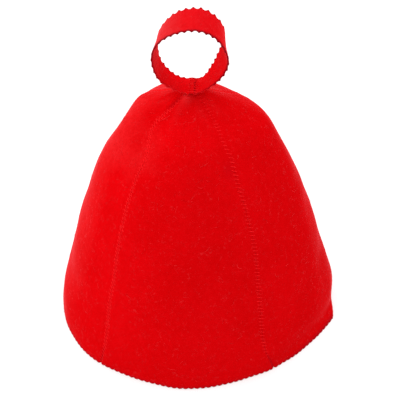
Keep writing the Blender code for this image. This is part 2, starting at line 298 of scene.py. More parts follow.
# Loose fibres, counted per square metre of felt
FIBRE_SEED = 41
FIBRE_POINTS = 9
FIBRE_SIDES = 4
STRAY_FIBRES = 3600.0
STRAY_LENGTH = (0.003, 0.008)
STRAY_RADIUS = 0.00011
STRAY_THINNEST = 0.3
STRAY_THINNING = 1.5
LOOP_STRAY_SHARE = 0.6  # how thick those on the loop are
STRAY_BEND = 1.1
STRAY_CURL = 1.2
STRAY_LIFT = (0.00004, 0.00016)
STRAY_END_LIFT = 0.0009
FUZZ_FIBRES = 16000.0
FUZZ_LENGTH = (0.0006, 0.0018)
FUZZ_RADIUS = 0.000035
FUZZ_POINTS = 5
FUZZ_SIDES = 3
FUZZ_LEAN = 0.9
FUZZ_CURL = 0.35

# Loose curls that catch the eye, on the front and the right gore
CURL_LIFT = 0.0002
CURL_END_LIFT = 0.0006
CURL_ARM = 0.1  # metres for each radian of azimuth, near enough to find a curl's place
Curl = namedtuple("Curl", "gore azimuth height heading bend length")
CURLS = (
    Curl("front_gore", -43.0, 0.2235, 62.0, 10.0, 0.0100),
    Curl("front_gore", 11.0, 0.2025, 14.0, 25.0, 0.0085),
    Curl("front_gore", 6.5, 0.1915, 30.0, -20.0, 0.0100),
    Curl("front_gore", 7.0, 0.1820, 8.0, 20.0, 0.0060),
    Curl("front_gore", -3.0, 0.1765, -10.0, 15.0, 0.0070),
    Curl("front_gore", -5.0, 0.2125, 85.0, 10.0, 0.0080),
    Curl("front_gore", 24.0, 0.1150, -60.0, 130.0, 0.0085),
    Curl("front_gore", 9.0, 0.1360, 40.0, 70.0, 0.0060),
    Curl("right_gore", 62.0, 0.0925, 0.0, -120.0, 0.0095),
    Curl("right_gore", 69.0, 0.0655, 15.0, -110.0, 0.0080),
    Curl("right_gore", 43.5, 0.0960, -70.0, 60.0, 0.0060),
)

# The camera, which looks down at the front of the hat
CAMERA_RISE = 38.0  # degrees above the floor
CAMERA_DISTANCE = 1.150
CAMERA_TARGET = (0.0028, 0.0081, 0.119)
CAMERA_LENS = 113.6
CAMERA_SENSOR = 36.0

# The pale floor and the soft studio light
FLOOR_REACH = 40.0
FLOOR_DROP = 0.0002
FLOOR_GLOW = 0.62
WORLD_GLOW = 0.90
LIGHT_TARGET = (0.0, 0.0, 0.12)
Light = namedtuple("Light", "name place size power")
LIGHTS = (
    Light("front_light", (-0.5, -1.2, 1.9), 1.4, 7.8),
    Light("left_light", (-1.4, -1.3, 1.1), 1.2, 5.4),
    Light("far_left_light", (-1.8, 0.0, 1.0), 1.2, 9.4),
    Light("right_light", (1.7, 0.2, 1.3), 1.2, 4.2),
    Light("back_left_light", (-1.0, 0.8, 1.9), 1.4, 10.6),
    Light("back_right_light", (0.9, 0.6, 1.9), 1.4, 11.6),
)


def course(column, along):
    """Smooth value of a column of the sections, at courses counted from the rim, 0, to the crown."""
    values = [getattr(section, column) for section in SECTIONS]
    mirrored = -values[-2] if column == "reach" else values[-2]
    values = np.array([2 * values[0] - values[1]] + values + [mirrored])
    along = np.asarray(along, float)
    index = np.clip(along.astype(int), 0, len(SECTIONS) - 2)
    before, start, end, after = (values[index + step] for step in range(4))
    share = along - index
    start_slope = (end - before) / 2
    end_slope = (after - start) / 2
    cube = 2 * (start - end) + start_slope + end_slope
    square = 3 * (end - start) - 2 * start_slope - end_slope
    return ((cube * share + square) * share + start_slope) * share + start


def turn_between(azimuth, middle):
    """Smallest turn from middle to azimuth, in degrees."""
    return (azimuth - middle + 180.0) % 360.0 - 180.0


def swell_share(azimuth, swell):
    """Round hump around the hat or the loop, 1 at the swell's middle and 0 at its ends."""
    turn = np.abs(turn_between(azimuth, swell.middle))
    return np.cos(math.pi / 2 * np.minimum(turn / swell.half_width, 1.0)) ** 2


def fold_share(azimuth, along):
    """Sharper hump at the pulled-out corner of the rim, which wanders to the side as it climbs."""
    middle = CORNER_FOLD.middle + CORNER_WANDER * np.minimum(along, CORNER_SECTIONS)
    turn = np.abs(turn_between(azimuth, middle))
    return np.maximum(1.0 - turn / CORNER_FOLD.half_width, 0.0) ** CORNER_SHARPNESS


def dent_depth(azimuth, radius, height):
    """How far the soft dents push the felt in."""
    depth = 0.0
    for dent in DENTS:
        across = np.radians(turn_between(azimuth, dent.azimuth)) * radius
        up = height - CROWN_HEIGHT * course("height", dent.along)
        slant = radius - RIM_RADIUS * course("reach", dent.along)
        distance = across ** 2 + up ** 2 + DENT_SLANT_SHARE * slant ** 2
        depth = depth + RIM_RADIUS * dent.depth * np.exp(-distance / (RIM_RADIUS * dent.size) ** 2)
    return depth


def gore_span(name, along):
    """Azimuths of a gore's two seams."""
    left = course("left_seam", along)
    right = course("right_seam", along)
    back_right = np.full_like(left, BACK_RIGHT_SEAM)
    back_left = np.full_like(left, BACK_LEFT_SEAM)
    return {
        "front_gore": (left, right),
        "right_gore": (right, back_right),
        "back_gore": (back_right, back_left),
        "left_gore": (back_left, left + 360.0),
    }[name]


def hollow_profile(name, across, along):
    """Radius and height of the felt's inner face at a share across a gore and a course along it."""
    start, end = gore_span(name, along)
    azimuth = start + (end - start) * across
    height = CROWN_HEIGHT * course("height", along)
    plan = 1.0 + course("right_pull", along) * swell_share(azimuth, RIGHT_SWELL)
    plan += course("back_pull", along) * swell_share(azimuth, BACK_SWELL)
    plan += course("left_pull", along) * swell_share(azimuth, LEFT_SWELL)
    plan += course("corner", along) * fold_share(azimuth, along)
    plan += course("ridge", along) * np.cos(4 * math.pi * across)
    plan -= course("belly", along) * np.cos(2 * math.pi * across)
    radius = RIM_RADIUS * course("reach", along) * plan
    radius = radius - dent_depth(azimuth, radius, height)
    gathered = np.sin(math.pi * np.minimum(radius / GATHER_REACH, 1.0)) ** 2
    height = height + GATHER_DEPTH * gathered * np.cos(2 * math.pi * GATHERS_PER_GORE * across)
    return radius, height


def tip_course():
    """Course at which the hollow has closed to TIP_RADIUS."""
    courses = np.linspace(len(SECTIONS) - 2.0, len(SECTIONS) - 1.0, TIP_COURSES)
    reach = RIM_RADIUS * course("reach", courses)
    return courses[reach > TIP_RADIUS].max()


def felt_faces(name, across, along):
    """Corners of the inner and the outer face of a gore, on a grid of courses and shares across it."""
    radius, height = hollow_profile(name, across, along)
    below = hollow_profile(name, across, np.maximum(along - COURSE_STEP, 0.0))
    above = hollow_profile(name, across, np.minimum(along + COURSE_STEP, len(SECTIONS) - 1.0))
    inwards, upwards = below[0] - above[0], above[1] - below[1]
    length = np.hypot(inwards, upwards)
    start, end = gore_span(name, along)
    faces = []
    for out in (0.0, FELT_THICKNESS):
        face_radius = radius + out * upwards / length
        face_height = height + out * inwards / length
        clear = np.degrees(np.arcsin(SEAM_GAP / 2 / face_radius))
        azimuth = np.radians(start + clear + (end - start - 2 * clear) * across)
        faces.append(np.stack(
            [face_radius * np.sin(azimuth), -face_radius * np.cos(azimuth), face_height], axis=-1))
    return faces


def unit(vectors):
    """The same vectors, each one long."""
    return vectors / np.maximum(np.linalg.norm(vectors, axis=-1, keepdims=True), TINY)


def grid_normals(points):
    """Outward normals of a grid whose rows climb and whose columns run to the right."""
    up = np.gradient(points, axis=0)
    right = np.gradient(points, axis=1)
    return unit(np.cross(right, up))


def soft_waves(points, seed):
    """Slow unevenness of the felt at each point, about as deep as 1."""
    waves = np.random.default_rng(seed)
    total = np.zeros(points.shape[:-1])
    for _ in range(WAVES):
        length = waves.uniform(*WAVE_LENGTHS)
        direction = unit(waves.normal(size=3))
        phase = waves.uniform(0.0, 2 * math.pi)
        total += np.sin(points @ direction * (2 * math.pi / length) + phase) * length / WAVE_LENGTHS[1]
    return total / math.sqrt(WAVES) * 2.0


def row_courses():
    """Courses of the mesh's rows: half a stitch apart, measured up the front gore's middle."""
    fine = np.linspace(0.0, tip_course(), FINE_COURSES)
    radius, height = hollow_profile("front_gore", np.full_like(fine, 0.5), fine)
    climbed = np.concatenate([[0.0], np.cumsum(np.hypot(np.diff(radius), np.diff(height)))])
    rows = int(climbed[-1] / ROW_PITCH)
    return np.interp(np.linspace(0.0, climbed[-1], rows + 1), climbed, fine)


def column_shares(name):
    """Shares across a gore of the mesh's columns, closer beside its seams, and its number of teeth."""
    start, end = gore_span(name, np.array(0.0))
    teeth = round(math.radians(float(end - start)) * RIM_RADIUS / RIM_TOOTH_PITCH)
    steps = teeth * COLUMNS_PER_TOOTH
    beside = np.array(BESIDE_SEAM)
    places = np.concatenate([np.arange(steps + 1.0), beside, steps - beside])
    return np.sort(places) / steps, teeth


def seam_gaps(outer):
    """Distances of each corner of a gore's outer face from its left and its right seam."""
    width = np.linalg.norm(np.diff(outer, axis=1), axis=-1)
    from_left = np.concatenate([np.zeros((len(outer), 1)), np.cumsum(width, axis=1)], axis=1)
    return from_left, from_left[:, -1:] - from_left


def fold_relief(points):
    """Height of the small folds and creases at each point."""
    radius = np.hypot(points[..., 0], points[..., 1])
    azimuth = np.degrees(np.arctan2(points[..., 0], -points[..., 1]))
    relief = 0.0
    for fold in FOLDS:
        across = np.radians(turn_between(azimuth, fold.azimuth)) * radius
        along = (radius - fold.distance) / fold.length
        relief = relief + fold.height * np.exp(-(across / fold.width) ** 2 - along ** 2)
    return relief


def felt_relief(points, gaps):
    """Height of the felt's outer face over its smooth form: soft waves, small folds, seams and puckers."""
    relief = WAVE_DEPTH * soft_waves(points, GORE_WAVES_SEED) + fold_relief(points)
    at_crown = np.exp(-(np.hypot(points[..., 0], points[..., 1]) / CROWN_REACH) ** 2)
    at_rim = np.exp(-(points[..., 2] / RIM_REACH) ** 2)
    groove = GROOVE_DEPTH + CROWN_GROOVE * at_crown + RIM_GROOVE * at_rim
    held = np.where(np.arange(len(points)) % 2 == 1, 1.0, PUCKER_REST)[:, None]
    for gap in gaps:
        relief -= groove * np.exp(-(gap / GROOVE_REACH) ** 2)
        relief -= PUCKER_DEPTH * np.exp(-(gap / PUCKER_REACH) ** 4) * held
        relief += WELT_HEIGHT * (1 - at_crown) * np.exp(-((gap - WELT_PLACE) / WELT_REACH) ** 2)
    return relief


def flank_painted_sheen(points, normals):
    """How much painted sheen the felt's outer face has at each point, with a painted highlight on small
    folds.
    """
    heights, *columns = zip(*PAINTED_SHEENS)
    *side, most, reach = (np.interp(points[..., 2], heights, column) for column in columns)
    away = np.degrees(np.arccos(np.clip((normals * unit(np.stack(side, -1))).sum(axis=-1), -1.0, 1.0)))
    flank = most * np.clip(1.0 - away / reach, 0.0, 1.0)
    return flank + RIDGE_PAINTED_HIGHLIGHT * np.clip(fold_relief(points) / RIDGE_HEIGHT, 0.0, 1.0)


def pinked(outer, inner, tooth):
    """Outer and inner face of a gore, with teeth of these heights at the rim and its two edges rounded."""
    inwards = unit(inner[0] - outer[0]) * EDGE_ROUNDING
    faces = []
    for face, step in ((outer, inwards), (inner, -inwards)):
        corner, edge, above = face[0] + step, face[0].copy(), face[1].copy()
        corner[:, 2] = tooth
        edge[:, 2] = tooth + EDGE_ROUNDING
        above[:, 2] = np.maximum(above[:, 2], tooth + NEXT_ROW * EDGE_ROUNDING)
        faces.append(np.stack([corner, edge, above, *face[2:]]))
    return faces


def shell_quads(rows, columns):
    """Faces of a closed shell: its outer face, its inner face, the rim, the tip and the two seams."""
    out = np.arange(rows * columns).reshape(rows, columns)
    under = out + rows * columns
    return np.concatenate([
        np.stack([out[:-1, :-1], out[:-1, 1:], out[1:, 1:], out[1:, :-1]], -1).reshape(-1, 4),
        np.stack([under[:-1, :-1], under[1:, :-1], under[1:, 1:], under[:-1, 1:]], -1).reshape(-1, 4),
        np.stack([out[0, :-1], under[0, :-1], under[0, 1:], out[0, 1:]], -1),
        np.stack([out[-1, :-1], out[-1, 1:], under[-1, 1:], under[-1, :-1]], -1),
        np.stack([out[:-1, 0], out[1:, 0], under[1:, 0], under[:-1, 0]], -1),
        np.stack([out[:-1, -1], under[:-1, -1], under[1:, -1], out[1:, -1]], -1),
    ])


def gore_finish(smooth, normals, gaps):
    """Shares of the cut edge's darker red, partly painted shade, and of painted sheen at a gore's corners.
    The inner face has no painted sheen.
    """
    near_seam = sum(np.exp(-(gap / PUCKER_REACH) ** 4) for gap in gaps)
    creased = np.clip(-fold_relief(smooth), 0.0, CREASE_DEPTH) / CREASE_DEPTH
    in_groove = sum(np.exp(-(gap / GROOVE_REACH) ** 2) for gap in gaps)
    at_rim = np.exp(-(smooth[..., 2] / RIM_REACH) ** 2)
    # Painted shade: beside the seams, in the creases and in the seams' grooves near the rim
    cut = SEAM_SHADE * near_seam + CREASE_SHADE * creased + RIM_SHADE * in_groove * at_rim
    cut = np.concatenate([cut[:1], cut])
    # The lowest rows of the rim: the cut edge's own darker red and painted contact shadow
    cut[:len(RIM_CUT_AND_SHADE)] = np.array(RIM_CUT_AND_SHADE)[:, None]
    # Painted sheen on the left flank and on small folds
    sheen_share = flank_painted_sheen(smooth, normals)
    sheen_share = np.concatenate([sheen_share[:1], sheen_share]).ravel()
    return np.concatenate([cut.ravel(), cut.ravel()]), np.concatenate([sheen_share, np.zeros(len(sheen_share))])


def felt_gore(name, courses):
    """Corners, faces and finish of one gore, and the grid of its outer face."""
    shares, teeth = column_shares(name)
    inner, smooth = felt_faces(name, *np.meshgrid(shares, courses))
    normals = grid_normals(smooth)
    gaps = seam_gaps(smooth)
    outer = smooth + normals * felt_relief(smooth, gaps)[..., None]
    inner = inner + normals * WAVE_DEPTH * soft_waves(inner, GORE_WAVES_SEED)[..., None]
    tooth = RIM_TOOTH_DEPTH * (1.0 - np.sin(math.pi * ((shares * teeth) % 1.0)))
    outer, inner = pinked(outer, inner, tooth)
    corners = np.concatenate([outer.reshape(-1, 3), inner.reshape(-1, 3)])
    return corners, shell_quads(*outer.shape[:2]), gore_finish(smooth, normals, gaps), outer[1:]


def tubes(paths, radii, sides):
    """Corners and faces of closed round tubes along many paths with as many points each."""
    count, points, _ = paths.shape
    ahead = unit(np.gradient(paths, axis=1))
    steep = np.abs(ahead[..., 2:]) >= 0.8
    side = unit(np.cross(ahead, np.where(steep, (1.0, 0.0, 0.0), (0.0, 0.0, 1.0))))
    lift = np.cross(side, ahead)
    angles = np.arange(sides) * 2 * math.pi / sides
    ring = side[:, :, None] * np.cos(angles)[:, None] + lift[:, :, None] * np.sin(angles)[:, None]
    corners = (paths[:, :, None] + ring * np.asarray(radii)[..., None, None]).reshape(-1, 3)
    base = np.arange(count)[:, None, None] * points * sides
    along = np.arange(points - 1)[None, :, None] * sides
    around = np.arange(sides)[None, None]
    beside = (around + 1) % sides
    quads = np.stack([base + along + around, base + along + beside,
                      base + along + sides + beside, base + along + sides + around], -1).reshape(-1, 4)
    start = (base[:, 0] + np.arange(sides)).astype(int)
    end = start + (points - 1) * sides
    return corners, quads[:, ::-1], start, end[:, ::-1]


def felt_object(name, corners, faces, material, cut=None, brushed=None):
    """One piece of the hat in its frame, smooth shaded. Faces come in groups with as many corners each."""
    mesh = bpy.data.meshes.new(name)
    shifted = corners + np.array([*CROWN_AXIS, 0.0])
    loops = np.concatenate([group.ravel() for group in faces]).astype(np.int32)
    sizes = np.concatenate([np.full(len(group), group.shape[1]) for group in faces])
    mesh.vertices.add(len(shifted))
    mesh.vertices.foreach_set("co", shifted.astype(np.float32).ravel())
    mesh.loops.add(len(loops))
    mesh.loops.foreach_set("vertex_index", loops)
    mesh.polygons.add(len(sizes))
    mesh.polygons.foreach_set("loop_start", np.concatenate([[0], np.cumsum(sizes)[:-1]]).astype(np.int32))
    mesh.update(calc_edges=True)
    mesh.validate()
    mesh.shade_smooth()
    for quality, values in (("cut_edge_and_shade", cut), ("brushed", brushed)):
        if values is not None:
            attribute = mesh.attributes.new(quality, "FLOAT", "POINT")
            attribute.data.foreach_set("value", values.astype(np.float32))
    mesh.materials.append(material)
    piece = bpy.data.objects.new(name, mesh)
    bpy.context.scene.collection.objects.link(piece)
    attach(piece, "root")
    return piece


def thread_object(name, paths, radius, material, sides=THREAD_SIDES):
    """Piece of sewing thread or loose fibre: a round tube along each path, thinner at its ends."""
    share = np.linspace(-1.0, 1.0, paths.shape[1])
    radii = np.reshape(radius, (-1, 1)) * (1.0 - THREAD_TAPER * share ** 4)
    corners, *faces = tubes(paths, np.broadcast_to(radii, paths.shape[:2]), sides)
    return felt_object(name, corners, faces, material)


def surface_at(grid, row, column):
    """Values of a grid at fractional rows and columns."""
    short = 1.001  # leaves one more row and column after each place
    row = np.clip(row, 0.0, grid.shape[0] - short)
    column = np.clip(column, 0.0, grid.shape[1] - short)
    low, near = row.astype(int), column.astype(int)
    up, right = (row - low)[..., None], (column - near)[..., None]
    lower = grid[low, near] * (1 - right) + grid[low, near + 1] * right
    upper = grid[low + 1, near] * (1 - right) + grid[low + 1, near + 1] * right
    return lower * (1 - up) + upper * up


def seam_strip(left_outer, right_outer):
    """Grid of the felt's surface beside a seam, in even steps from the left gore to the right one."""
    strip = np.zeros((len(right_outer), STRIP_COLUMNS, 3))
    for row, (left, right) in enumerate(zip(left_outer[:, ::-1], right_outer)):
        for line, chosen in ((left, STRIP_OFFSETS < 0), (right, STRIP_OFFSETS >= 0)):
            gone = np.concatenate([[0.0], np.cumsum(np.linalg.norm(np.diff(line, axis=0), axis=1))])
            for axis in range(3):
                strip[row, chosen, axis] = np.interp(np.abs(STRIP_OFFSETS[chosen]), gone, line[:, axis])
    return strip


def strokes_on(strip, start_row, start_offset, end_row, end_offset, rise):
    """Lines of thread over a strip of felt, which dive into it at both ends."""
    share = np.linspace(0.0, 1.0, STROKE_POINTS)
    row = start_row[:, None] + (end_row - start_row)[:, None] * share
    offset = start_offset[:, None] + (end_offset - start_offset)[:, None] * share
    column = (offset + STRIP_REACH) / (2 * STRIP_REACH) * (strip.shape[1] - 1)
    points = surface_at(strip, row, column)
    outward = unit(surface_at(grid_normals(strip), row, column))
    shown = np.minimum(share * (1 - share) / STROKE_DIVE, 1.0)
    over_groove = GROOVE_DEPTH * OVER_GROOVE * np.exp(-(offset / GROOVE_REACH) ** 2)
    lift = rise * shown - THREAD_RADIUS * END_DEPTH * (1 - shown) + over_groove
    return points + outward * lift[..., None]


def zigzag(strip, bars, half_width, slope, sunk, maker, rise=STITCH_RISE):
    """Bars across a seam at these rows of its strip, and the fainter returns between them."""
    wander = maker.normal(0.0, STITCH_WANDER, (2, len(bars)))
    start_row, end_row = bars + slope / 2, bars - slope / 2
    start_offset, end_offset = -half_width + wander[0], half_width + wander[1]
    over = strokes_on(strip, start_row, start_offset, end_row, end_offset, THREAD_RADIUS * rise)
    back = strokes_on(strip, end_row[:-1], end_offset[:-1], start_row[1:], start_offset[1:], -sunk)
    return np.concatenate([over, back])


def gore_seam(seam, grids, maker):
    """Lines of thread over the seam between two gores."""
    strip = seam_strip(grids[seam.left_gore], grids[seam.right_gore])
    room = np.linalg.norm(strip[:, -1] - strip[:, 0], axis=1)
    last = int(np.flatnonzero(room > SEAM_ROOM * STITCH_HALF_WIDTH)[-1])
    bars = np.arange(1.0, min(last, len(strip) - TIP_ROWS), 2.0)
    heights = strip[bars.astype(int), STRIP_COLUMNS // 2, 2]
    rise = np.interp(heights, *SEAM_RISE)[:, None]
    return zigzag(strip, bars, STITCH_HALF_WIDTH, seam.slope / ROW_PITCH, seam.sunk, maker, rise)


def fibre_roots(grid, density, maker):
    """Even scatter of places on a face of the felt: rows and columns of its grid."""
    widths = np.linalg.norm(np.diff(grid, axis=1), axis=-1).sum(axis=1)
    middle = grid[:, grid.shape[1] // 2]
    height = np.linalg.norm(np.diff(middle, axis=0), axis=1).sum()
    count = int(density * widths.mean() * height)
    row = maker.choice(len(widths), count, p=widths / widths.sum()).astype(float)
    return row, maker.uniform(1.0, grid.shape[1] - 2.0, count)


def stray_fibres(grid, maker):
    """Curved loose fibres that lie on a face of the felt and lift off it at their ends."""
    row, column = fibre_roots(grid, STRAY_FIBRES, maker)
    count = len(row)
    share = np.linspace(-0.5, 0.5, FIBRE_POINTS)
    length = maker.uniform(*STRAY_LENGTH, count)[:, None]
    bend = maker.normal(0.0, STRAY_BEND, count)[:, None]
    bend = bend + maker.normal(0.0, STRAY_CURL, count)[:, None] * share
    heading = maker.uniform(0.0, 2 * math.pi, count)[:, None] + bend * share
    step = length / (len(share) - 1)
    here = surface_at(grid, row, column)
    least = 1e-5  # keeps steps small where rows or columns meet
    row_pitch = np.linalg.norm(surface_at(grid, row + 1, column) - here, axis=1)[:, None] + least
    column_pitch = np.linalg.norm(surface_at(grid, row, column + 1) - here, axis=1)[:, None] + least
    rows = row[:, None] + np.cumsum(np.sin(heading), axis=1) * step / row_pitch
    columns = column[:, None] + np.cumsum(np.cos(heading), axis=1) * step / column_pitch
    outward = unit(surface_at(grid_normals(grid), rows, columns))
    lift = maker.uniform(*STRAY_LIFT, count)[:, None]
    lift = lift + maker.uniform(0.0, STRAY_END_LIFT, count)[:, None] * np.abs(2 * share) ** 3
    return surface_at(grid, rows, columns) + outward * lift[..., None]


def loose_curl(grid, curl):
    """Path of one loose curl over the corner of the grid that lies nearest to its place."""
    azimuth = np.degrees(np.arctan2(grid[..., 0], -grid[..., 1]))
    away = (np.radians(azimuth - curl.azimuth) * CURL_ARM) ** 2 + (grid[..., 2] - curl.height) ** 2
    row, column = np.unravel_index(np.argmin(away), away.shape)
    outward = grid_normals(grid)[row, column]
    across = unit(np.cross(np.array([0.0, 0.0, 1.0]), outward))
    up = np.cross(outward, across)
    share = np.linspace(-0.5, 0.5, FIBRE_POINTS)[:, None]
    heading = np.radians(curl.heading + curl.bend * share)
    step = curl.length / (len(share) - 1) * (across * np.cos(heading) + up * np.sin(heading))
    path = np.cumsum(step, axis=0)
    lift = CURL_LIFT + CURL_END_LIFT * np.abs(2 * share) ** 3
    return grid[row, column] + path - path[len(share) // 2] + outward * lift


def fuzz(grid, maker):
    """Short fine fibres that stand off a face of the felt."""
    row, column = fibre_roots(grid, FUZZ_FIBRES, maker)
    root = surface_at(grid, row, column)
    outward = unit(surface_at(grid_normals(grid), row, column))
    lean = unit(outward + FUZZ_LEAN * maker.normal(size=root.shape))
    curl = maker.normal(size=root.shape)
    length = maker.uniform(*FUZZ_LENGTH, len(root))[:, None, None]
    share = np.linspace(0.0, 1.0, FUZZ_POINTS)[None, :, None]
    return root[:, None] + length * (lean[:, None] * share + FUZZ_CURL * curl[:, None] * share ** 2)


def crown_outline():
    """Distances from the crown's middle and heights of the felt, down the front gore's middle."""
    courses = np.linspace(CROWN_START, tip_course(), CROWN_COURSES)
    line = felt_faces("front_gore", np.full_like(courses, 0.5), courses)[1][::-1]
    return np.hypot(line[:, 0], line[:, 1]), line[:, 2]


def from_seat(turn):
    """Distance along the band from its seat, below zero to the left, at a turn in radians."""
    return np.radians(turn_between(np.degrees(turn), 0.0)) * LOOP_WIDTH / 2


def loop_place(turn, depth, lift):
    """Place on the band, by turn from its seat in radians, depth to the back and lift off its inner face."""
    forward = -depth / (BAND_WIDTH / 2)
    half_width = LOOP_WIDTH / 2 * (1 + LOOP_SPLAY * forward)
    half_height = LOOP_HEIGHT / 2 * (1 - LOOP_SQUASH * forward)
    bottom = LOOP_SEAT + BAND_THICKNESS - math.tan(math.radians(LOOP_TILT)) * depth
    outward = unit(np.stack([np.sin(turn) / half_width, -np.cos(turn) / half_height], -1))
    for push in LOOP_PUSHES:
        amount = (push.front * (1 + forward) + push.back * (1 - forward)) / 2
        lift = lift + LOOP_WIDTH / 2 * amount * swell_share(np.degrees(turn), push)
    x = half_width * np.sin(turn) + outward[..., 0] * lift + depth * math.tan(math.radians(LOOP_TURN))
    z = bottom + half_height * (1 - np.cos(turn)) + outward[..., 1] * lift
    crown = np.interp(np.hypot(x, depth), *CROWN_OUTLINE)
    room = np.maximum(bottom - BAND_THICKNESS - crown - TACK_CLEARANCE, 0.0)
    z = z - TACK_PULL * room * np.exp(-((from_seat(turn) - TACK_PLACE) / TACK_REACH) ** 2)
    return np.stack(np.broadcast_arrays(x, depth, z), -1)


def loop_face(turn, depth, lift):
    """Place on the band, with its soft waves and its lapped end."""
    middle = loop_place(turn, depth, BAND_THICKNESS / 2)
    past_step = from_seat(turn) - JOIN_STEP
    lap = np.clip(1.0 + past_step / JOIN_LAP, 0.0, 1.0) ** 2 * np.clip(-past_step / STEP_WIDTH, 0.0, 1.0)
    lap = lap * JOIN_LIFT * np.where(lift > BAND_THICKNESS / 2, 0.0, 1.0)
    return loop_place(turn, depth, lift + BAND_WAVE * soft_waves(middle, BAND_WAVES_SEED) - lap)


def band_section():
    """The band's section: shares across it, lifts from its inner face, and how far corners are drawn in."""
    face = np.concatenate([-np.array(BAND_LINES[:0:-1]), BAND_LINES])
    edge = np.ones(2)
    edge_lifts = np.array([BAND_ROUNDING, BAND_THICKNESS - BAND_ROUNDING])
    drawn_in = np.where(np.abs(face) == 1.0, BAND_ROUNDING, 0.0)
    shares = np.concatenate([face, edge, face[::-1], -edge])
    flat = np.zeros(len(face))
    lifts = np.concatenate([flat, edge_lifts, flat + BAND_THICKNESS, edge_lifts[::-1]])
    return shares, lifts, np.concatenate([drawn_in, np.zeros(2), drawn_in, np.zeros(2)])


def band_finish(turns, shares, lifts, inset):
    """Shares of the cut edge's darker red, partly painted shade and shadow, and of painted sheen at the
    band's corners.
    """
    edge = np.abs(shares)
    tip = 1.0 - inset / inset.max(axis=0)
    gone = from_seat(turns)[:, None]
    held_down = np.exp(-(gone / np.where(gone < 0.0, *SEAT_REACH)) ** 2) * np.where(shares < 0.0, 1.0, 0.0)
    # The cut edge's own darker red, with painted shadow at the tips of the teeth
    cut = (np.interp(edge, *EDGE_SHADE) + tip * np.interp(edge, *TIP_SHADE)) * (1.0 - held_down)
    # Painted shadow at the foot of the lapped end's step
    past_line = gone - JOIN_STEP - STEP_SHADE_PLACE
    at_step = np.exp(-(past_line / STEP_WIDTH) ** 2) * np.where(lifts < BAND_THICKNESS / 2, STEP_SHADE, 0.0)
    outside = np.where(lifts > BAND_THICKNESS / 2, 1.0, 0.0)
    # Painted shade that keeps the outer face darker than the inner face, and painted sheen on it
    shade = np.interp(np.degrees(turns), *OUTSIDE_SHADE)[:, None] * outside
    brushed = np.interp(np.degrees(turns), *PAINTED_SHEEN_OUTSIDE)[:, None] * outside
    return np.maximum(np.maximum(cut, at_step), shade).ravel(), brushed.ravel()


def loop_band():
    """Corners, faces and finish of the band with its pinked edges, and the grids of its two faces."""
    around = math.pi * (LOOP_WIDTH + LOOP_HEIGHT) / 2
    teeth = round(around / BAND_TOOTH_PITCH)
    end = JOIN_GAP / LOOP_WIDTH
    turns = np.linspace(end, 2 * math.pi - end, teeth * BAND_STEPS_PER_TOOTH + 1)
    phase = (np.linspace(0.0, teeth, len(turns)) + BAND_TOOTH_START) % 1.0
    notch = BAND_TOOTH_DEPTH * np.sin(math.pi * phase) ** BAND_NOTCH_POWER
    shares, lifts, drawn_in = band_section()
    inset = notch[:, None] * np.where(shares > 0.0, BACK_TOOTH_SHARE, 1.0)
    points = loop_face(turns[:, None], shares * (BAND_WIDTH / 2 - inset - drawn_in), lifts)
    index = np.arange(points[..., 0].size).reshape(points.shape[:2])
    beside = np.roll(index, -1, axis=1)
    quads = np.stack([index[:-1], index[1:], beside[1:], beside[:-1]], -1).reshape(-1, 4)
    lines = 2 * len(BAND_LINES) - 1
    inner, outer = points[:, :lines], points[:, lines + 2:2 * lines + 2]
    finish = band_finish(turns, shares, lifts, inset)
    return points.reshape(-1, 3), [quads, index[:1], index[-1:, ::-1]], finish, (inner, outer)


def loop_seam(maker):
    """Lines of thread that sew the band's lapped ends down."""
    depths = np.linspace(-BAND_WIDTH / 2 + JOIN_MARGIN, BAND_WIDTH / 2 - JOIN_MARGIN, JOIN_ROWS)
    turns = (STRIP_OFFSETS * JOIN_STRETCH + JOIN_MIDDLE) / (LOOP_WIDTH / 2)
    strip = loop_face(*np.meshgrid(turns, depths), 0.0)
    bars = np.linspace(1.5, len(depths) - 2.5, JOIN_STITCHES)
    return zigzag(strip, bars, JOIN_HALF_WIDTH / JOIN_STRETCH, JOIN_SLOPE, JOIN_SUNK, maker)


def tack_seam(grid, maker):
    """Lines of thread on the crown in front of the band, over the felt of this grid."""
    across, ahead = np.meshgrid(STRIP_OFFSETS + TACK_MIDDLE, np.linspace(*TACK_ROWS, 2 * TACK_BARS + 2))
    corners = grid.reshape(-1, 3)
    apart = (across[..., None] - corners[:, 0]) ** 2 + (ahead[..., None] - corners[:, 1]) ** 2
    share = np.exp(-apart / TACK_BLUR ** 2)
    height = (share * corners[:, 2]).sum(axis=-1) / share.sum(axis=-1)
    strip = np.stack([across, ahead, height], -1)
    bars = np.arange(1.5, 2 * TACK_BARS, 2.0)
    return zigzag(strip, bars, STITCH_HALF_WIDTH, TACK_SLOPE, TACK_SUNK, maker)


class Strand:
    """One value or colour of a material's nodes. Sums and products of it add Math nodes."""

    def __init__(self, cloth, socket):
        self.cloth = cloth
        self.socket = socket

    def _math(self, operation, first, second):
        return self.cloth.node("ShaderNodeMath", {"operation": operation}, {0: first, 1: second})

    def __add__(self, other):
        return self._math("ADD", self, other)

    __radd__ = __add__

    def __sub__(self, other):
        return self._math("SUBTRACT", self, other)

    def __rsub__(self, other):
        return self._math("SUBTRACT", other, self)

    def __mul__(self, other):
        return self._math("MULTIPLY", self, other)

    __rmul__ = __mul__

    def __abs__(self):
        return self._math("ABSOLUTE", self, 0.0)


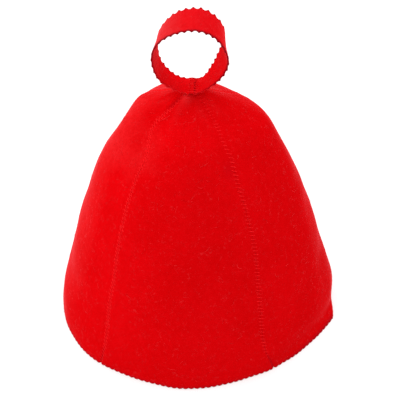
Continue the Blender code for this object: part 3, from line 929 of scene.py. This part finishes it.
class Cloth:
    """A material under work, whose nodes all come from one method."""

    def __init__(self, name):
        self.material = bpy.data.materials.new(name)
        self.material.use_nodes = True
        self.tree = self.material.node_tree
        self.shader = self.tree.nodes["Principled BSDF"]

    def node(self, kind, settings, sockets, output=0):
        """Adds a node, its settings first, and gives one of its outputs."""
        made = self.tree.nodes.new(kind)
        for setting, value in settings.items():
            setattr(made, setting, value)
        self.feed(made, sockets)
        return Strand(self, made.outputs[output])

    def feed(self, node, sockets):
        """Links a strand to each socket of a node, or sets the socket's value."""
        for socket, value in sockets.items():
            if isinstance(value, Strand):
                self.tree.links.new(value.socket, node.inputs[socket])
            else:
                node.inputs[socket].default_value = value

    def place(self):
        """Where a point lies on the piece, in metres."""
        return self.node("ShaderNodeTexCoord", {}, {}, "Object")

    def noise(self, size, detail=2.0, roughness=0.5, distortion=0.0):
        """Cloudy values around a half, with spots about this large."""
        return self.node("ShaderNodeTexNoise", {}, {
            "Vector": self.place(), "Scale": 1.0 / size, "Detail": detail, "Roughness": roughness,
            "Distortion": distortion}, "Fac")

    def between(self, share, low, high):
        """0 where share is under low, 1 where it is over high, smooth between them."""
        return self.node("ShaderNodeMapRange", {"interpolation_type": "SMOOTHSTEP"}, {
            "Value": share, "From Min": low, "From Max": high})

    def mix(self, share, first, second):
        """Colour that goes from first to second."""
        return self.node("ShaderNodeMix", {"data_type": "RGBA"}, {0: share, 6: first, 7: second}, 2)

    def quality(self, name):
        """Share that each corner of the mesh carries under this name."""
        return self.node("ShaderNodeAttribute", {"attribute_name": name}, {}, "Fac")


def colour(red, green, blue):
    """Colour as a shader's socket takes it."""
    return (red, green, blue, 1.0)


# The felt's dye: plain, deep in its hollows, light on its fibres and dark where cut; the cut red also serves
# as painted shade, and the pale colour is painted sheen
Dye = namedtuple("Dye", "plain deep light cut brushed sheen sheen_roughness")
HAT_DYE = Dye(colour(0.585, 0.0010, 0.0026), colour(0.500, 0.0005, 0.0014), colour(0.64, 0.026, 0.029),
              colour(0.34, 0.002, 0.006), colour(0.68, 0.030, 0.034), 0.85, 0.22)
# The loop's plain red is lighter than the hat's: painted light that brightens the band's shaded inner face,
# while OUTSIDE_SHADE darkens its outer face
LOOP_DYE_AND_LIGHT = Dye(colour(0.685, 0.0014, 0.0036), colour(0.590, 0.0008, 0.0024), colour(0.69, 0.034, 0.038),
               colour(0.15, 0.002, 0.006), colour(0.55, 0.045, 0.049), 0.72, 0.28)
THREAD_RED = colour(0.78, 0.0130, 0.016)
FIBRE_RED = colour(0.86, 0.042, 0.047)
SHEEN_RED = colour(1.0, 0.13, 0.15)
THREAD_TWIST = 0.0006
FIBRE_TWIST = 0.0030
YARN_ROUGHNESS = 0.6

# How strongly the felt's colour and relief follow its clouds, mottle, grain and fibres
CONTRAST = 0.9
FIBRE_HALF_WIDTH = 0.020  # in the noise whose middle value draws the fibres
FIBRE_LIGHT = 0.45
GRAIN_LIGHT = 0.28
BUMP_STRENGTH = 0.55
BUMP_DEPTH = 0.0005


def felt(name, dye):
    """Pressed wool felt: mottled, with fine fibres every way, darker where cut or where shade is painted,
    and paler where sheen is painted.
    """
    cloth = Cloth(name)
    clouds = cloth.noise(size=0.045)
    mottle = cloth.noise(size=0.0040, detail=3.0, roughness=0.6)
    grain = cloth.noise(size=0.0009, roughness=0.6)
    lines = abs(cloth.noise(size=0.0060, distortion=1.6) - 0.5)
    broken = cloth.between(cloth.noise(size=0.0050), 0.48, 0.62)
    fibres = (1.0 - cloth.between(lines, 0.0, FIBRE_HALF_WIDTH)) * broken
    depth = (clouds - 0.5) * CONTRAST + (mottle - 0.5) * CONTRAST + (grain - 0.5) * CONTRAST + 0.5
    base = cloth.mix(cloth.between(depth, 0.05, 0.95), dye.deep, dye.plain)
    lit = fibres * FIBRE_LIGHT + cloth.between(grain, 0.60, 0.80) * GRAIN_LIGHT
    base = cloth.mix(lit, base, dye.light)
    # Painted sheen: paler where the mesh carries it
    base = cloth.mix(cloth.quality("brushed") * (mottle * 1.6 + grain * 1.4 - 0.5), base, dye.brushed)
    # The cut edge's darker red, and painted shade where the mesh carries it
    base = cloth.mix(cloth.quality("cut_edge_and_shade"), base, dye.cut)
    roughness = 0.86 + grain * 0.16
    relief = grain * 0.45 + mottle * 0.35 + fibres * 0.30
    bump = cloth.node("ShaderNodeBump", {}, {
        "Height": relief, "Strength": BUMP_STRENGTH, "Distance": BUMP_DEPTH})
    cloth.feed(cloth.shader, {
        "Base Color": base, "Roughness": roughness, "Normal": bump, "Specular IOR Level": 0.0,
        "Sheen Weight": dye.sheen, "Sheen Roughness": dye.sheen_roughness, "Sheen Tint": SHEEN_RED})
    return cloth.material


def yarn(name, bright, twist):
    """Thread or loose fibre, bright with patches of the felt's own red as long as its twist."""
    cloth = Cloth(name)
    base = cloth.mix(cloth.between(cloth.noise(twist, 1.0), 0.3, 0.7), HAT_DYE.plain, bright)
    cloth.feed(cloth.shader, {"Base Color": base, "Roughness": YARN_ROUGHNESS, "Specular IOR Level": 0.0})
    return cloth.material


FELT = felt("red_felt", HAT_DYE)
LOOP_FELT = felt("red_loop_felt", LOOP_DYE_AND_LIGHT)
THREAD = yarn("red_thread", THREAD_RED, THREAD_TWIST)
FIBRE = yarn("loose_fibre", FIBRE_RED, FIBRE_TWIST)
CROWN_OUTLINE = crown_outline()


def loose_wool(name, grid, strays, radii, maker):
    """The stray fibres and the fuzz of a face of the felt."""
    thread_object(name + "_stray_fibres", strays, radii, FIBRE, FIBRE_SIDES)
    thread_object(name + "_fuzz", fuzz(grid, maker), FUZZ_RADIUS, FIBRE, FUZZ_SIDES)


# The hat. One maker draws all that is left to chance, so its steps keep their order.
maker = np.random.default_rng(FIBRE_SEED)
courses = row_courses()
grids = {}
for gore in GORES:
    corners, quads, finish, grids[gore] = felt_gore(gore, courses)
    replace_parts(felt_object(gore + "_felt", corners, [quads], FELT, *finish), gore)
    curls = [loose_curl(grids[gore], curl) for curl in CURLS if curl.gore == gore]
    strays = np.array(curls + list(stray_fibres(grids[gore], maker)))
    radii = STRAY_RADIUS * maker.uniform(STRAY_THINNEST, 1.0, len(strays)) ** STRAY_THINNING
    radii[:len(curls)] = STRAY_RADIUS
    loose_wool(gore, grids[gore], strays, radii, maker)

for seam in SEAMS:
    thread_object(f"{seam.left_gore}_seam_thread", gore_seam(seam, grids, maker), THREAD_RADIUS, THREAD)

corners, faces, finish, (inner, outer) = loop_band()
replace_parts(felt_object("hanging_loop_felt", corners, faces, LOOP_FELT, *finish), "hanging_loop")
for side, grid in (("loop_inner", inner[:, ::-1]), ("loop_outer", outer[:, ::-1])):
    loose_wool(side, grid, stray_fibres(grid, maker), STRAY_RADIUS * LOOP_STRAY_SHARE, maker)
thread_object("loop_seam_thread", loop_seam(maker), THREAD_RADIUS, THREAD)
upper_front = grids["front_gore"][len(courses) // 2:]
thread_object("tack_thread", tack_seam(upper_front, maker), THREAD_RADIUS, THREAD)


def stage_floor():
    """Plain pale floor under the hat, which glows softly."""
    mesh = bpy.data.meshes.new("floor")
    corners = [(x * FLOOR_REACH, y * FLOOR_REACH, 0.0) for x, y in ((-1, -1), (1, -1), (1, 1), (-1, 1))]
    mesh.from_pydata(corners, [], [(0, 1, 2, 3)])
    cloth = Cloth("pale_floor")
    cloth.feed(cloth.shader, {
        "Base Color": colour(0.40, 0.40, 0.40), "Roughness": 0.9, "Specular IOR Level": 0.1,
        "Emission Color": colour(1.0, 1.0, 1.0), "Emission Strength": FLOOR_GLOW})
    mesh.materials.append(cloth.material)
    floor = bpy.data.objects.new("floor", mesh)
    floor.location.z = -FLOOR_DROP
    bpy.context.scene.collection.objects.link(floor)


def soft_light(name, place, size, power):
    """Large round light that faces the hat."""
    data = bpy.data.lights.new(name, "AREA")
    data.shape = "DISK"
    data.size = size
    data.energy = power
    light = bpy.data.objects.new(name, data)
    light.location = place
    aim = np.array(LIGHT_TARGET) - np.array(place)
    down = math.acos(-aim[2] / np.linalg.norm(aim))
    light.rotation_euler = (down, 0.0, math.atan2(aim[0], -aim[1]) + math.pi)
    bpy.context.scene.collection.objects.link(light)


# The studio
stage_floor()
for light in LIGHTS:
    soft_light(*light)
world = bpy.data.worlds.new("studio")
world.use_nodes = True
background = world.node_tree.nodes["Background"].inputs
background["Color"].default_value = colour(1.0, 1.0, 1.0)
background["Strength"].default_value = WORLD_GLOW
bpy.context.scene.world = world
bpy.context.scene.view_settings.view_transform = "Standard"
camera = bpy.data.objects.new("camera", bpy.data.cameras.new("camera"))
camera.data.sensor_width = CAMERA_SENSOR
camera.data.lens = CAMERA_LENS
rise = math.radians(CAMERA_RISE)
camera.location = CAMERA_TARGET + CAMERA_DISTANCE * np.array([0.0, -math.cos(rise), math.sin(rise)])
camera.rotation_euler = (math.pi / 2 - rise, 0.0, 0.0)
bpy.context.scene.collection.objects.link(camera)
bpy.context.scene.camera = camera
